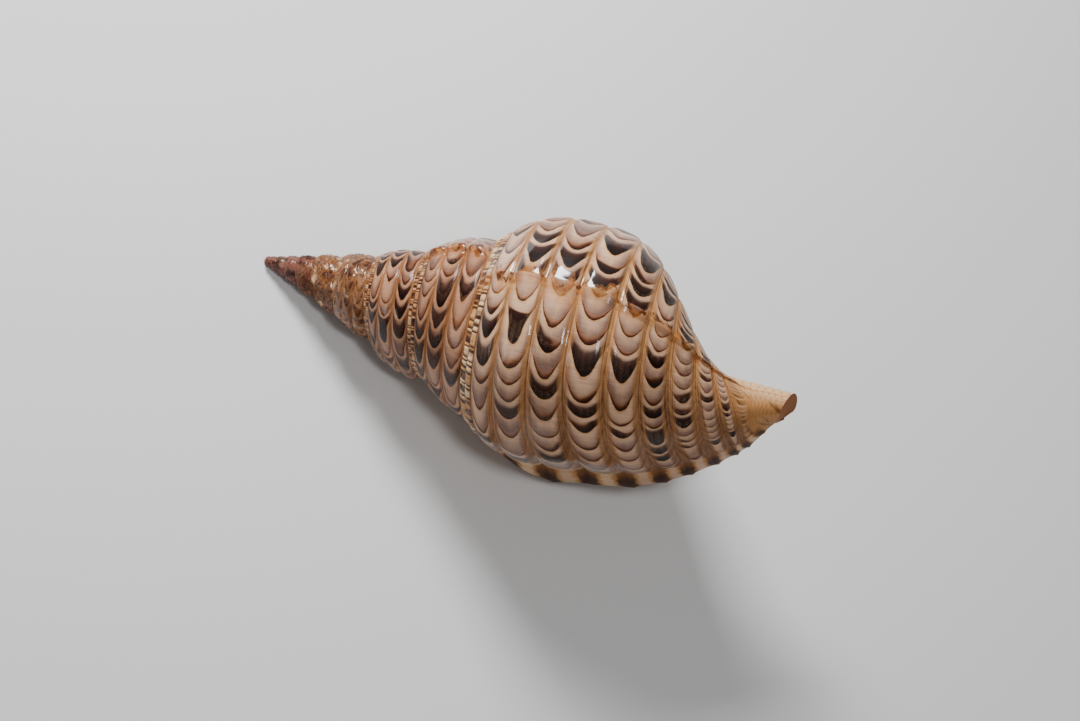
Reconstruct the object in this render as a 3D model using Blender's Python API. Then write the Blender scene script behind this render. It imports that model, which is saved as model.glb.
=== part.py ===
"""Triton shell, lying on its mouth.

The shell is one closed solid. Its surface follows a growth law: a spiral seam, the suture,
that shrinks by a fixed ratio with each turn back from the lip; a profile stretched from each
seam to the next one; and on the last turn a base that runs down to the canal. Raised cords
run along the spiral and swollen growth stops, the varices, cross it. Past the last of these the
lip flares out and ends in a tooth at each groove. The mouth is hollow for most of a turn, and
its floor is the base of the turn before.

The law is written in shell lengths. Its own frame has +X along the axis from the apex to the
canal, and angles are measured round that axis. "turns" counts back from the lip, and
"station" runs across the surface: 0 to 1 from a seam to the next, 1 to 2 down the base,
2 to 3 along the canal.
"""

import math

import bmesh
import bpy
import numpy as np
from mathutils import Matrix

# Size and resting position
LENGTH = 0.300
REST_ROLL = math.radians(-65.0)
REST_PITCH = math.radians(-21.5)

# Growth of the seam, in shell lengths
TURNS = 8
WHORL_RATIO = 1.40
SEAM_REACH = 0.524
SEAM_START = 0.014
SEAM_RISE = 0.055
RISE_TURNS = 0.5
APEX_RADIUS = 0.005
SPIRE_SLOPE = 0.262
SPIRE_FLARE = 0.19
SEAM_DIP = 0.006
DIP_TURNS = (1.0, 1.6)
APEX_TIP = 0.004
LIP_ANGLE = math.radians(-120.0)

# Keys of the last turn: turns back from the lip, then a value in shell lengths
WIDEST_PLACE = ((0.0, 0.680), (0.085, 0.680), (0.333, 0.640), (0.583, 0.600), (0.833, 0.545))
WIDEST_RADIUS = ((0.0, 0.250), (0.085, 0.188), (0.333, 0.215), (0.583, 0.225), (0.833, 0.195))
NECK_PLACE = (
    (0.0, 0.975), (0.085, 0.968), (0.2, 0.952), (0.333, 0.925), (0.583, 0.865), (0.833, 0.81),
    (1.0, 0.76), (1.4, 0.66), (1.8, 0.58),
)
NECK_RADIUS = (
    (0.0, 0.065), (0.085, 0.055), (0.2, 0.040), (0.333, 0.029), (0.583, 0.025), (0.8, 0.034),
    (1.0, 0.042), (1.4, 0.030), (1.8, 0.022),
)
TIP_RADIUS = ((0.0, 0.040), (0.2, 0.028), (0.45, 0.022), (0.8, 0.021), (1.0, 0.015), (1.5, 0.006))

# Keys of the profile's fullness: turns back from the lip, then a ratio or an exponent
UPPER_BULGE = (
    (0.0, 0.25), (0.085, 0.12), (0.333, 0.14), (0.583, 0.155), (0.833, 0.12),
    (1.0, 0.07), (1.3, 0.06), (1.8, 0.085), (2.4, 0.10),
)
BASE_SHOULDER = (
    (0.0, 1.77), (0.085, 1.85), (0.333, 2.3), (0.583, 2.5), (0.833, 2.2), (1.0, 2.0),
)
BASE_HOLLOW = (
    (0.0, 1.0), (0.085, 1.1), (0.2, 1.3), (0.333, 1.6), (0.583, 2.0), (0.833, 1.8), (1.0, 1.7),
)
BULGE_LEAN = 0.8

# Sideways bend of the axis, towards the back of the shell
CANAL_BEND = 0.023
CANAL_BEND_START = 0.45
SPIRE_WAVES = ((0.20, 0.075, -0.004), (0.37, 0.045, 0.006))

# Slanting end of the canal, over END_PLACES: drawn back per length across from a pivot, and
# tucked in where its radius is between the two tuck radii
END_SLANT = 0.25
END_PIVOT = 0.002
END_TUCK = 1.2
TUCK_RADII = (0.022, 0.042)
END_PLACES = (0.92, 1.0)

# Cords and varices, in shell lengths and stations
GROOVES = (0.0, 0.13, 0.36, 0.67, 1.0, 1.24, 1.43, 1.578, 1.72, 1.825, 1.893, 2.0)
CORD_HEIGHT = 0.0055
CORD_WIDTH = 0.2
CORD_SHOULDERS = (0.25, 0.75)
CORD_SQUARENESS = 4.0
CALLUS_FADE = (0.86, 0.97)
VARICES = (
    (0.083, 0.004), (0.411, 0.007), (0.95, 0.010), (1.478, 0.017), (2.083, 0.017),
    (2.63, 0.016), (3.18, 0.016), (3.73, 0.016), (4.28, 0.016),
)
VARIX_BACK = 0.10
VARIX_STEP = 0.012
VARIX_FADES = ((0.0, 0.12), (0.85, 1.0), (1.85, 2.2))
LIP_TOOTH = 0.004
LIP_BAND = 0.05
NORMAL_STEP = 0.004

# Mouth
WALL = 0.013
LIP_ROUND = 0.005
LEAST_GAP = 0.006
HOLLOW_END = 0.985
MOUTH_DEPTH = 0.88
MOUTH_ROWS = 16
MOUTH_CROWDING = 1.15
MOUTH_CORNER = 1.07
RIM_FADES = ((0.0, 0.1), (2.6, 3.0))
DENSE = 240

# Mesh fineness
STEPS = 36
COARSE_FROM = 3
COARSEST_FROM = 7
CANAL_COLUMNS = 4
WELD = 2.0e-6
TOUCH = 1.0e-7

# Finish
SHELL_COLOR = (0.46, 0.30, 0.19, 1.0)
SHELL_ROUGHNESS = 0.32


def through(keys, turns):
    """Value at turns of the smooth curve through (turns, value) keys, flat past both ends."""
    places = np.array([key[0] for key in keys])
    values = np.array([key[1] for key in keys])
    steps = np.diff(places)
    rises = np.diff(values) / steps
    slopes = np.concatenate([rises[:1], rises[:-1], rises[-1:]])
    for index in range(1, len(places) - 1):
        before, after = rises[index - 1], rises[index]
        slopes[index] = 2.0 * before * after / (before + after) if before * after > 0.0 else 0.0
    turns = np.clip(turns, places[0], places[-1])
    left = np.clip(np.searchsorted(places, turns, side="right") - 1, 0, len(steps) - 1)
    u = (turns - places[left]) / steps[left]
    rise = values[left + 1] - values[left]
    start = slopes[left] * steps[left]
    end = slopes[left + 1] * steps[left]
    return values[left] + u * start + u**2 * (3 * rise - 2 * start - end) + u**3 * (
        start + end - 2 * rise
    )


def ease(value, low, high):
    """Smooth step from 0 at low to 1 at high."""
    u = np.clip((value - low) / (high - low), 0.0, 1.0)
    return u * u * (3.0 - 2.0 * u)


def growth(turns):
    """Size of the shell at turns back from the lip, as a share of its size at the lip."""
    return WHORL_RATIO ** (-np.asarray(turns, float))


def seam(turns):
    """Place along the axis and radius of the suture."""
    turns = np.asarray(turns, float)
    rise = SEAM_RISE * np.clip(1.0 - turns / RISE_TURNS, 0.0, 1.0) ** 2
    place = SEAM_REACH * growth(turns) - SEAM_START - rise
    dip = SEAM_DIP * growth(turns) * ease(turns, *DIP_TURNS)
    return place, APEX_RADIUS + place * (SPIRE_SLOPE + SPIRE_FLARE * place) - dip


def lower_seam(turns):
    """Place and radius where the upper part ends: the next suture, or the last turn's shoulder."""
    place, radius = seam(0.0)
    newer_place, newer_radius = seam(np.maximum(turns - 1.0, 0.0))
    last = turns < 1.0
    free_place = through(WIDEST_PLACE + ((1.0, float(place)),), turns)
    free_radius = through(WIDEST_RADIUS + ((1.0, float(radius)),), turns)
    return np.where(last, free_place, newer_place), np.where(last, free_radius, newer_radius)


def smooth_profile(turns, station):
    """Place along the axis and radius of the plain surface, without cords or varices."""
    turns = np.asarray(turns, float)
    station = np.asarray(station, float)
    high_place, high_radius = seam(turns)
    low_place, low_radius = lower_seam(turns)
    upper = np.clip(station, 0.0, 1.0)
    chord = np.hypot(low_place - high_place, low_radius - high_radius)
    bulge = through(UPPER_BULGE, turns) * chord * np.sin(math.pi * upper**BULGE_LEAN)
    upper_place = high_place + (low_place - high_place) * upper
    upper_radius = high_radius + (low_radius - high_radius) * upper + bulge
    neck_place = through(NECK_PLACE, turns)
    neck_radius = through(NECK_RADIUS, turns)
    base = np.clip(station - 1.0, 0.0, 1.0)
    fall = (1.0 - base ** through(BASE_SHOULDER, turns)) ** through(BASE_HOLLOW, turns)
    base_place = low_place + (neck_place - low_place) * base
    base_radius = neck_radius + (low_radius - neck_radius) * fall
    canal = np.clip(station - 2.0, 0.0, 1.0)
    canal_place = neck_place + (1.0 - neck_place) * canal
    canal_radius = neck_radius + (through(TIP_RADIUS, turns) - neck_radius) * canal
    place = np.where(station <= 1.0, upper_place, np.where(station <= 2.0, base_place, canal_place))
    radius = np.where(
        station <= 1.0, upper_radius, np.where(station <= 2.0, base_radius, canal_radius)
    )
    return place, radius


def relief(turns, station):
    """Height of the cords, the varices and the lip's teeth over the plain surface."""
    size = growth(turns)
    grooves = np.array(GROOVES)
    left = np.clip(np.searchsorted(grooves, station, side="right") - 1, 0, len(grooves) - 2)
    across = (station - grooves[left]) / (grooves[left + 1] - grooves[left])
    round_top = 1.0 - np.abs(2.0 * np.clip(across, 0.0, 1.0) - 1.0) ** CORD_SQUARENESS
    width = np.sqrt((grooves[left + 1] - grooves[left]) / CORD_WIDTH)
    callus = 1.0 - ease(turns, *CALLUS_FADE) * (station > 1.0)
    lip = 1.0 - ease(turns, 0.0, LIP_BAND)
    seam_fade, suture_fade, canal_fade = VARIX_FADES
    cords = CORD_HEIGHT * width * round_top * (1.0 - lip)
    teeth = LIP_TOOTH * (1.0 - round_top) * lip * ease(station, *seam_fade)
    teeth = teeth * (1.0 - ease(station, *canal_fade))
    edge = ease(station, *seam_fade) * (1.0 - ease(station, *canal_fade))
    edge = edge * np.where(turns >= 1.0, 1.0 - ease(station, *suture_fade), 1.0)
    swelling = np.zeros_like(station)
    for crest, height in VARICES:
        back = turns - crest
        behind = np.clip(1.0 - back / VARIX_BACK, 0.0, 1.0) ** 2
        ahead = np.clip(1.0 + back / VARIX_STEP, 0.0, 1.0)
        swelling = np.maximum(swelling, height * np.where(back >= 0.0, behind, ahead))
    return size * (cords + teeth + swelling * edge) * callus


def bend(place):
    """Offset of the bent axis towards the back of the shell."""
    canal = np.clip((place - CANAL_BEND_START) / (1.0 - CANAL_BEND_START), 0.0, 2.0)
    offset = CANAL_BEND * canal**1.5
    for centre, width, height in SPIRE_WAVES:
        offset = offset + height * np.exp(-(((place - centre) / width) ** 2))
    return offset


def in_space(place, radius, turns):
    """Points of the shell's own frame, in shell lengths."""
    angle = LIP_ANGLE + 2.0 * math.pi * np.asarray(turns)
    across = radius * np.cos(angle)
    up = radius * np.sin(angle) + bend(place)
    wide = np.clip(radius, *TUCK_RADII) - TUCK_RADII[0]
    drawn_back = (END_SLANT * (across - END_PIVOT) + END_TUCK * wide) * ease(place, *END_PLACES)
    return np.stack([place - drawn_back, -across, up], axis=-1)


def outside(turns, station):
    """Points of the outer surface with its cords and varices."""
    place, radius = smooth_profile(turns, station)
    place_1, radius_1 = smooth_profile(turns, np.clip(station - NORMAL_STEP, 0.0, 3.0))
    place_2, radius_2 = smooth_profile(turns, np.clip(station + NORMAL_STEP, 0.0, 3.0))
    along = np.hypot(place_2 - place_1, radius_2 - radius_1)
    height = relief(turns, station)
    place = place - (radius_2 - radius_1) / along * height
    radius = radius + (place_2 - place_1) / along * height
    return in_space(place, radius, turns)


def mouth_section(depth):
    """The mouth's cross-section, depth turns in: its two walls as radii over one run of places.

    Returns the run of places, the outer wall's radii, the inner wall's radii, and the ends of
    the hollow along the run.
    """
    station = np.linspace(0.0, 3.0, DENSE)
    place, radius = smooth_profile(np.full(DENSE, depth), station)
    slope = np.gradient(radius, place)
    length = np.sqrt(1.0 + slope**2)
    inner_place, inner_radius = smooth_profile(np.full(DENSE, 1.0 + depth), 1.0 + station * 2.0 / 3.0)
    run = np.linspace(inner_place[0], 1.0, DENSE)
    outer = np.interp(run, place + WALL * slope / length, radius - WALL / length)
    inner = np.interp(run, inner_place, inner_radius)
    start = float(smooth_profile(1.0 + depth, MOUTH_CORNER)[0])
    widest = int(np.argmax(outer - inner))
    closed = np.flatnonzero((outer - inner < LEAST_GAP) & (np.arange(DENSE) > widest))
    end = float(run[closed[0]]) if len(closed) else 1.0
    return run, outer, inner, start, min(end, HOLLOW_END) if depth > 0.0 else end


def mouth_wall(depths, station, is_outer):
    """Points of the mouth's outer or inner wall, where station is that of the surface behind."""
    points = np.zeros((len(depths), 3))
    for depth in np.unique(depths):
        rows = depths == depth
        run, outer, inner, start, end = mouth_section(depth)
        turns = np.full(rows.sum(), depth if is_outer else 1.0 + depth)
        place, own_radius = smooth_profile(turns, station[rows])
        first = float(seam(depth)[0]) if is_outer else start
        place = start + (place - first) * (end - start) / (1.0 - first)
        on_inner = np.interp(place, run, inner)
        if end == 1.0:
            on_inner = on_inner if is_outer else own_radius
        radius = np.interp(place, run, outer) if is_outer else on_inner
        shut = (place < start + TOUCH) | ((place > end - TOUCH) & (end < 1.0))
        radius = np.where(shut, on_inner, radius)
        points[rows] = in_space(place, radius, turns)
    return points


def row_pattern(steps):
    """Rows of one turn, evenly spaced but drawn to the step of each varix."""
    rows = np.linspace(0.0, 1.0, STEPS + 1)
    for crest, _ in VARICES[1:5]:
        index = int(round((crest % 1.0) * STEPS))
        rows[index] = crest % 1.0
        rows[index - 1] = crest % 1.0 - VARIX_STEP
    return rows[:: STEPS // steps]


def column_pattern():
    """Stations of the columns: a groove and two shoulders for each cord, then the canal."""
    columns = []
    for low, high in zip(GROOVES[:-1], GROOVES[1:]):
        columns.append(low)
        columns.extend(low + share * (high - low) for share in CORD_SHOULDERS)
    columns.extend(2.0 + step / CANAL_COLUMNS for step in range(CANAL_COLUMNS + 1))
    columns = np.array(columns)
    columns[np.argmin(np.abs(columns - MOUTH_CORNER))] = MOUTH_CORNER
    return columns


def add_sheet(bm, rows, columns, place_points, edge_rows=None):
    """Add a grid whose rows and columns stand at the given turns and stations.

    With edge_rows, twice as many rows as rows, the far edge has a point on each of them.
    """
    before = len(bm.verts)
    bmesh.ops.create_grid(bm, x_segments=len(rows) - 1, y_segments=len(columns) - 1, size=0.5)
    bm.verts.ensure_lookup_table()
    if edge_rows is not None:
        edges = {edge for vert in bm.verts[before:] for edge in vert.link_edges}
        far = [edge for edge in edges if all(vert.co.y > 0.4999 for vert in edge.verts)]
        bmesh.ops.subdivide_edges(bm, edges=far, cuts=1)
        bm.verts.ensure_lookup_table()
    verts = bm.verts[before:]
    rows = rows if edge_rows is None else edge_rows
    across = np.array([(vert.co.x + 0.5) * (len(rows) - 1) for vert in verts])
    along = np.array([(vert.co.y + 0.5) * (len(columns) - 1) for vert in verts])
    turns = np.interp(across, np.arange(len(rows)), rows)
    station = np.interp(along, np.arange(len(columns)), columns)
    for vert, point in zip(verts, place_points(turns, station)):
        vert.co = point


def add_outside(bm):
    """Add the outer surface, turn by turn from the lip to the apex."""
    columns = column_pattern()
    upper = columns[columns <= 1.0]
    add_sheet(bm, row_pattern(STEPS), columns, outside)
    for turn in range(1, TURNS):
        steps = STEPS // (1 if turn < COARSE_FROM else 2 if turn < COARSEST_FROM else 4)
        rows = turn + row_pattern(steps)
        changes = turn in (COARSE_FROM, COARSEST_FROM)
        edge_rows = turn + row_pattern(2 * steps) if changes else None
        add_sheet(bm, rows, upper, outside, edge_rows)


def add_mouth(bm):
    """Add the lip's rounded rim and the two walls of the hollow behind it."""
    columns = column_pattern()
    inner_columns = columns[columns >= MOUTH_CORNER]
    depths = MOUTH_DEPTH * np.linspace(0.0, 1.0, MOUTH_ROWS + 1) ** MOUTH_CROWDING
    add_sheet(bm, depths, columns, lambda turns, station: mouth_wall(turns, station, True))
    add_sheet(bm, depths, inner_columns, lambda turns, station: mouth_wall(turns, station, False))

    def rim(share, station):
        """Points from the outer edge of the lip, share 0, to its inner edge, share 1."""
        zeros = np.zeros_like(station)
        outer = outside(zeros, station)
        inner = mouth_wall(zeros, station, True)
        share = np.where(station > 0.0, share, np.ceil(share))
        points = outer + (inner - outer) * share[:, None]
        forward = np.array([0.0, -math.sin(LIP_ANGLE), -math.cos(LIP_ANGLE)])
        seam_fade, canal_fade = RIM_FADES
        swell = LIP_ROUND * 4.0 * share * (1.0 - share) * ease(station, *seam_fade)
        return points + forward * (swell * (1.0 - ease(station, *canal_fade)))[:, None]

    add_sheet(bm, np.array([0.0, 0.5, 1.0]), columns, rim)


def close_holes(bm):
    """Close the apex, the canal's end and the deep end of the mouth, each by one face."""
    bmesh.ops.remove_doubles(bm, verts=bm.verts, dist=WELD / LENGTH)
    open_edges = [edge for edge in bm.edges if edge.is_boundary]
    filled = bmesh.ops.holes_fill(bm, edges=open_edges, sides=0)
    apex = min(filled["faces"], key=lambda face: face.calc_center_median().x)
    tip = bmesh.ops.poke(bm, faces=[apex])["verts"][0]
    tip.co = (APEX_TIP, 0.0, float(bend(APEX_TIP)))


def build_shell():
    """Build the shell and lay it down, and return its object."""
    bm = bmesh.new()
    add_outside(bm)
    add_mouth(bm)
    close_holes(bm)
    bmesh.ops.triangulate(bm, faces=bm.faces)
    bmesh.ops.recalc_face_normals(bm, faces=bm.faces)
    lay_down(bm)
    mesh = bpy.data.meshes.new("shell")
    bm.to_mesh(mesh)
    bm.free()
    mesh.shade_smooth()
    mesh.materials.append(shell_material())
    shell = bpy.data.objects.new("shell", mesh)
    bpy.context.collection.objects.link(shell)
    return shell


def lay_down(bm):
    """Scale to real size, turn to the resting position, and stand it over the origin."""
    turn = Matrix.Rotation(REST_PITCH, 4, "Y") @ Matrix.Rotation(REST_ROLL, 4, "X")
    bmesh.ops.transform(bm, matrix=turn @ Matrix.Scale(LENGTH, 4), verts=bm.verts)
    corners = np.array([vert.co for vert in bm.verts])
    low, high = corners.min(axis=0), corners.max(axis=0)
    shift = (-(low[0] + high[0]) / 2.0, -(low[1] + high[1]) / 2.0, -low[2])
    bmesh.ops.translate(bm, vec=shift, verts=bm.verts)


def shell_material():
    """Glossy warm brown finish."""
    material = bpy.data.materials.new("shell")
    material.use_nodes = True
    principled = material.node_tree.nodes["Principled BSDF"]
    principled.inputs["Base Color"].default_value = SHELL_COLOR
    principled.inputs["Roughness"].default_value = SHELL_ROUGHNESS
    principled.inputs["Metallic"].default_value = 0.0
    return material


def main():
    """Clear the file and build the shell."""
    for item in list(bpy.data.objects):
        bpy.data.objects.remove(item, do_unlink=True)
    build_shell()


if __name__ == "__main__":
    main()
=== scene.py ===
"""Dressed triton shell: the finely sculpted and coloured skin that stands for the CAD solid.

The skin follows the same growth law as the solid, in shell lengths: +X runs along the axis from
the apex to the canal, "turns" counts back from the lip, and "station" runs across the surface,
0 to 1 from a suture to the next, 1 to 2 down the base, 2 to 3 along the canal. "lane" is the
cord that a station belongs to, with how far across that cord it lies as its fraction.
"""
import logging
import math
from dataclasses import dataclass
from enum import Enum
from typing import Callable, Optional, Sequence

import bmesh
import bpy
import numpy as np
from mathutils import Matrix, Vector


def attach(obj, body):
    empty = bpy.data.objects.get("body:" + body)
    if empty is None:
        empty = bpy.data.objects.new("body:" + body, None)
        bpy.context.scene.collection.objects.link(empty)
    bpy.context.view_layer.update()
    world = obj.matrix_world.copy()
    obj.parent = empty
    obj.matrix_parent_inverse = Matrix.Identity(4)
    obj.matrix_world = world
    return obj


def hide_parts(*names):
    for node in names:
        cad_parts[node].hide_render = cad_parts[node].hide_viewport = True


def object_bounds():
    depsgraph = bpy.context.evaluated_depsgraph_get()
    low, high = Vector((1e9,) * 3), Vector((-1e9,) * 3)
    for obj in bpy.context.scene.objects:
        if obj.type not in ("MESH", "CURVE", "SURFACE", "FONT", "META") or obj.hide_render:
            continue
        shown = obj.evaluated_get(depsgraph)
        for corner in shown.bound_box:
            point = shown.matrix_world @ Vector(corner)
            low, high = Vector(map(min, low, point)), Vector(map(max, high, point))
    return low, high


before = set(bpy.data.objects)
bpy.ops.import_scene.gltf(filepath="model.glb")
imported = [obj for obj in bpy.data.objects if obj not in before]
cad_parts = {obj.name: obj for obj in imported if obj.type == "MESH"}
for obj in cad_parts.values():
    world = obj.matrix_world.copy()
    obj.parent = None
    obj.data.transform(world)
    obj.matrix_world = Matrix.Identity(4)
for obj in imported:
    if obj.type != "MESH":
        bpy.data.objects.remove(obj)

SOLID_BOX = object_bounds()
LOG = logging.getLogger("triton")
Keys = tuple[tuple[float, float], ...]
Colour = tuple[float, float, float, float]


class Side(Enum):
    """Surfaces of the mouth, as numbered in the marks map."""

    LIP = 0.0
    OUTER_WALL = 1.0
    COLUMELLA = 2.0


def through(keys: Keys, turns: np.ndarray) -> np.ndarray:
    """Follow a smooth curve through keys.

    Args:
        keys: Pairs of turns and value, in rising order of turns.
        turns: Turns back from the lip to read the curve at.

    Returns:
        The values, flat past both ends.
    """
    places = np.array([key[0] for key in keys])
    values = np.array([key[1] for key in keys])
    steps = np.diff(places)
    rises = np.diff(values) / steps
    slopes = np.concatenate([rises[:1], rises[:-1], rises[-1:]])
    for index in range(1, len(places) - 1):
        before, after = rises[index - 1], rises[index]
        slopes[index] = 2.0 * before * after / (before + after) if before * after > 0.0 else 0.0
    turns = np.clip(turns, places[0], places[-1])
    left = np.clip(np.searchsorted(places, turns, side="right") - 1, 0, len(steps) - 1)
    share = (turns - places[left]) / steps[left]
    rise = values[left + 1] - values[left]
    start = slopes[left] * steps[left]
    end = slopes[left + 1] * steps[left]
    cubic = start + end - 2 * rise
    return values[left] + share * start + share**2 * (3 * rise - 2 * start - end) + share**3 * cubic


def ease(value: np.ndarray, low: float, high: float) -> np.ndarray:
    """Smooth step from 0 at low to 1 at high."""
    share = np.clip((value - low) / (high - low), 0.0, 1.0)
    return share * share * (3.0 - 2.0 * share)


@dataclass(frozen=True)
class GrowthLaw:
    """The plain spiral surface, in shell lengths, and how it lies on the ground."""

    length: float = 0.300
    rest_roll: float = math.radians(-65.0)
    rest_pitch: float = math.radians(-21.5)
    rest_shift: tuple[float, float, float] = (-0.141396, -0.003113, 0.000802)
    whorl_ratio: float = 1.40
    seam_reach: float = 0.524
    seam_start: float = 0.014
    seam_rise: float = 0.055
    rise_turns: float = 0.5
    apex_radius: float = 0.005
    spire_slope: float = 0.262
    spire_flare: float = 0.19
    seam_dip: float = 0.006
    dip_turns: tuple[float, float] = (1.0, 1.6)
    apex_tip: float = 0.004
    lip_angle: float = math.radians(-120.0)
    widest_place: Keys = (
        (0.0, 0.680), (0.085, 0.680), (0.333, 0.640), (0.583, 0.600), (0.833, 0.545),
    )
    widest_radius: Keys = (
        (0.0, 0.250), (0.085, 0.188), (0.333, 0.215), (0.583, 0.225), (0.833, 0.195),
    )
    neck_place: Keys = (
        (0.0, 0.975), (0.085, 0.968), (0.2, 0.952), (0.333, 0.925), (0.583, 0.865), (0.833, 0.81),
        (1.0, 0.76), (1.4, 0.66), (1.8, 0.58),
    )
    neck_radius: Keys = (
        (0.0, 0.065), (0.085, 0.055), (0.2, 0.040), (0.333, 0.029), (0.583, 0.025), (0.8, 0.034),
        (1.0, 0.042), (1.4, 0.030), (1.8, 0.022),
    )
    tip_radius: Keys = (
        (0.0, 0.040), (0.2, 0.028), (0.45, 0.022), (0.8, 0.021), (1.0, 0.015), (1.5, 0.006),
    )
    upper_bulge: Keys = (
        (0.0, 0.25), (0.085, 0.12), (0.333, 0.14), (0.583, 0.155), (0.833, 0.12),
        (1.0, 0.07), (1.3, 0.06), (1.8, 0.085), (2.4, 0.10),
    )
    base_shoulder: Keys = (
        (0.0, 1.77), (0.085, 1.85), (0.333, 2.3), (0.583, 2.5), (0.833, 2.2), (1.0, 2.0),
    )
    base_hollow: Keys = (
        (0.0, 1.0), (0.085, 1.1), (0.2, 1.3), (0.333, 1.6), (0.583, 2.0), (0.833, 1.8), (1.0, 1.7),
    )
    bulge_lean: float = 0.8
    canal_bend: float = 0.023
    canal_bend_start: float = 0.45
    end_slant: float = 0.25
    end_pivot: float = 0.002
    end_tuck: float = 1.2
    tuck_radii: tuple[float, float] = (0.022, 0.042)
    end_places: tuple[float, float] = (0.92, 1.0)
    spire_waves: tuple[tuple[float, float, float], ...] = (
        (0.20, 0.075, -0.004), (0.37, 0.045, 0.006),
    )

    def growth(self, turns: np.ndarray) -> np.ndarray:
        """Size of the shell at turns, as a share of its size at the lip."""
        return self.whorl_ratio ** (-np.asarray(turns, float))

    def seam(self, turns: np.ndarray) -> tuple[np.ndarray, np.ndarray]:
        """Place along the axis and radius of the suture."""
        turns = np.asarray(turns, float)
        rise = self.seam_rise * np.clip(1.0 - turns / self.rise_turns, 0.0, 1.0) ** 2
        place = self.seam_reach * self.growth(turns) - self.seam_start - rise
        dip = self.seam_dip * self.growth(turns) * ease(turns, *self.dip_turns)
        return place, self.apex_radius + place * (self.spire_slope + self.spire_flare * place) - dip

    def lower_seam(self, turns: np.ndarray) -> tuple[np.ndarray, np.ndarray]:
        """Place and radius of the next suture, or of the shoulder on the last turn."""
        place, radius = self.seam(0.0)
        newer_place, newer_radius = self.seam(np.maximum(turns - 1.0, 0.0))
        free_place = through(self.widest_place + ((1.0, float(place)),), turns)
        free_radius = through(self.widest_radius + ((1.0, float(radius)),), turns)
        last = turns < 1.0
        return np.where(last, free_place, newer_place), np.where(last, free_radius, newer_radius)

    def profile(self, turns: np.ndarray, station: np.ndarray) -> tuple[np.ndarray, np.ndarray]:
        """Place and radius of the plain surface.

        Args:
            turns: Turns back from the lip.
            station: Stations across the surface.

        Returns:
            Places along the axis and radii round it.
        """
        turns = np.asarray(turns, float)
        station = np.asarray(station, float)
        high_place, high_radius = self.seam(turns)
        low_place, low_radius = self.lower_seam(turns)
        upper = np.clip(station, 0.0, 1.0)
        chord = np.hypot(low_place - high_place, low_radius - high_radius)
        bulge = through(self.upper_bulge, turns) * chord * np.sin(math.pi * upper**self.bulge_lean)
        upper_place = high_place + (low_place - high_place) * upper
        upper_radius = high_radius + (low_radius - high_radius) * upper + bulge
        neck_place = through(self.neck_place, turns)
        neck_radius = through(self.neck_radius, turns)
        base = np.clip(station - 1.0, 0.0, 1.0)
        shoulder = through(self.base_shoulder, turns)
        fall = (1.0 - base**shoulder) ** through(self.base_hollow, turns)
        base_place = low_place + (neck_place - low_place) * base
        base_radius = neck_radius + (low_radius - neck_radius) * fall
        canal = np.clip(station - 2.0, 0.0, 1.0)
        canal_place = neck_place + (1.0 - neck_place) * canal
        canal_radius = neck_radius + (through(self.tip_radius, turns) - neck_radius) * canal
        on_upper, on_base = station <= 1.0, station <= 2.0
        place = np.where(on_upper, upper_place, np.where(on_base, base_place, canal_place))
        radius = np.where(on_upper, upper_radius, np.where(on_base, base_radius, canal_radius))
        return place, radius

    def bend(self, place: np.ndarray) -> np.ndarray:
        """Offset of the bent axis towards the back of the shell."""
        canal = np.clip((place - self.canal_bend_start) / (1.0 - self.canal_bend_start), 0.0, 2.0)
        offset = self.canal_bend * canal**1.5
        for centre, width, height in self.spire_waves:
            offset = offset + height * np.exp(-(((place - centre) / width) ** 2))
        return offset

    def in_space(self, place: np.ndarray, radius: np.ndarray, turns: np.ndarray) -> np.ndarray:
        """Points of the shell's own frame for places, radii and turns."""
        angle = self.lip_angle + 2.0 * math.pi * np.asarray(turns)
        across = radius * np.cos(angle)
        up = radius * np.sin(angle) + self.bend(place)
        wide = np.clip(radius, *self.tuck_radii) - self.tuck_radii[0]
        drawn_back = self.end_slant * (across - self.end_pivot) + self.end_tuck * wide
        drawn_back = drawn_back * ease(place, *self.end_places)
        return np.stack([place - drawn_back, -across, up], axis=-1)

    def rest(self) -> Matrix:
        """Placement of the shell's own frame, in lengths, on the ground in metres."""
        roll = Matrix.Rotation(self.rest_roll, 4, "X")
        pitch = Matrix.Rotation(self.rest_pitch, 4, "Y")
        shift = Matrix.Translation(Vector(self.rest_shift))
        return shift @ pitch @ roll @ Matrix.Scale(self.length, 4)


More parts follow.
